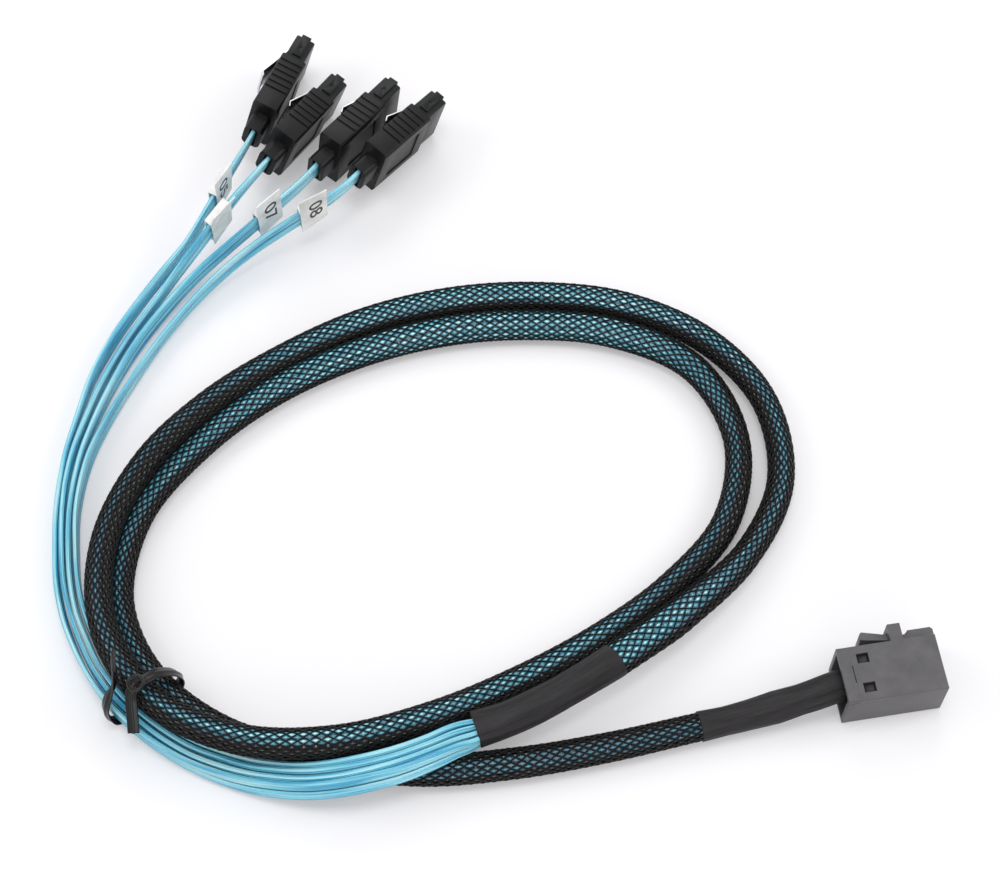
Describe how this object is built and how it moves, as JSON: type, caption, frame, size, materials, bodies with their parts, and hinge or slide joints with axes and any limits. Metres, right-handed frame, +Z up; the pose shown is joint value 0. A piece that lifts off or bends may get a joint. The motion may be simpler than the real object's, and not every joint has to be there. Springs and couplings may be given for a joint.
{
  "type": "mini sas breakout cable",
  "caption": "Internal data breakout cable: a latched rectangular host plug, a braided trunk coiled and tied, and latched drive plugs on paired blue ribbon cables",
  "frame": {"origin": "on the table, under the middle of the bounding box of everything but the free cords: connectors, heat-shrink sleeves, labels and tie", "axes": "+Z up from the table the cable lies on; +X to the right and +Y away from the viewer of the picture, so the host plug points roughly along +X and the drive plugs point away"},
  "size_m": [0.1847, 0.1818, 0.0198],
  "materials": {
    "shell_grey": "moulded, slightly satin dark grey",
    "retainer_black": "moulded black",
    "circuit_board": "green solder mask with gold-plated pads",
    "heat_shrink": "shrunk polyolefin with fine lengthwise wrinkles",
    "braid": "flat braid of glossy black and dark teal polyester strands",
    "ribbon_blue": "smooth light blue cable jacket",
    "label_white": "coated white label stock",
    "plug_black": "soft over-moulded black",
    "housing_black": "moulded black",
    "latch_steel": "bright stamped stainless steel",
    "tie_black": "plastic-coated wire strip"
  },
  "bodies": {
    "cable": {"host_plug_shell": "shell_grey", "host_wire_retainer": "retainer_black", "paddle_card_lower": "circuit_board", "paddle_card_upper": "circuit_board", "host_heat_shrink": "heat_shrink", "braided_sleeve": "braid", "breakout_heat_shrink": "heat_shrink", "drive_1_ribbon_lower": "ribbon_blue", "drive_1_ribbon_upper": "ribbon_blue", "drive_1_label": "label_white", "drive_1_overmould": "plug_black", "drive_1_contact_housing": "housing_black", "drive_2_ribbon_lower": "ribbon_blue", "drive_2_ribbon_upper": "ribbon_blue", "drive_2_label": "label_white", "drive_2_overmould": "plug_black", "drive_2_contact_housing": "housing_black", "drive_3_ribbon_lower": "ribbon_blue", "drive_3_ribbon_upper": "ribbon_blue", "drive_3_label": "label_white", "drive_3_overmould": "plug_black", "drive_3_contact_housing": "housing_black", "drive_4_ribbon_lower": "ribbon_blue", "drive_4_ribbon_upper": "ribbon_blue", "drive_4_label": "label_white", "drive_4_overmould": "plug_black", "drive_4_contact_housing": "housing_black", "twist_tie": "tie_black"},
    "host_latch": {"host_latch": "shell_grey"},
    "drive_1_latch": {"drive_1_latch_leaf": "latch_steel"},
    "drive_2_latch": {"drive_2_latch_leaf": "latch_steel"},
    "drive_3_latch": {"drive_3_latch_leaf": "latch_steel"},
    "drive_4_latch": {"drive_4_latch_leaf": "latch_steel"}
  },
  "joints": [
    {"name": "host_latch_press", "type": "hinge", "parent": "cable", "child": "host_latch", "pos_m": [0.07536, -0.06379, 0.00574], "axis": [0, 0, 1], "range_deg": [0, 6], "stiffness_Nm_per_rad": 0.5},
    {"name": "drive_1_latch_press", "type": "hinge", "parent": "cable", "child": "drive_1_latch", "pos_m": [-0.0536, 0.08526, 0.00743], "axis": [0.2762, 0.0103, 0.961], "range_deg": [0, 4], "stiffness_Nm_per_rad": 0.8},
    {"name": "drive_2_latch_press", "type": "hinge", "parent": "cable", "child": "drive_2_latch", "pos_m": [-0.04581, 0.07426, 0.00746], "axis": [0.3403, 0.0314, 0.9398], "range_deg": [0, 4], "stiffness_Nm_per_rad": 0.8},
    {"name": "drive_3_latch_press", "type": "hinge", "parent": "cable", "child": "drive_3_latch", "pos_m": [-0.03223, 0.07308, 0.00706], "axis": [0.1357, 0.0555, 0.9892], "range_deg": [0, 4], "stiffness_Nm_per_rad": 0.8},
    {"name": "drive_4_latch_press", "type": "hinge", "parent": "cable", "child": "drive_4_latch", "pos_m": [-0.0223, 0.06946, 0.00731], "axis": [0.267, 0.0189, 0.9635], "range_deg": [0, 4], "stiffness_Nm_per_rad": 0.8}
  ]
}
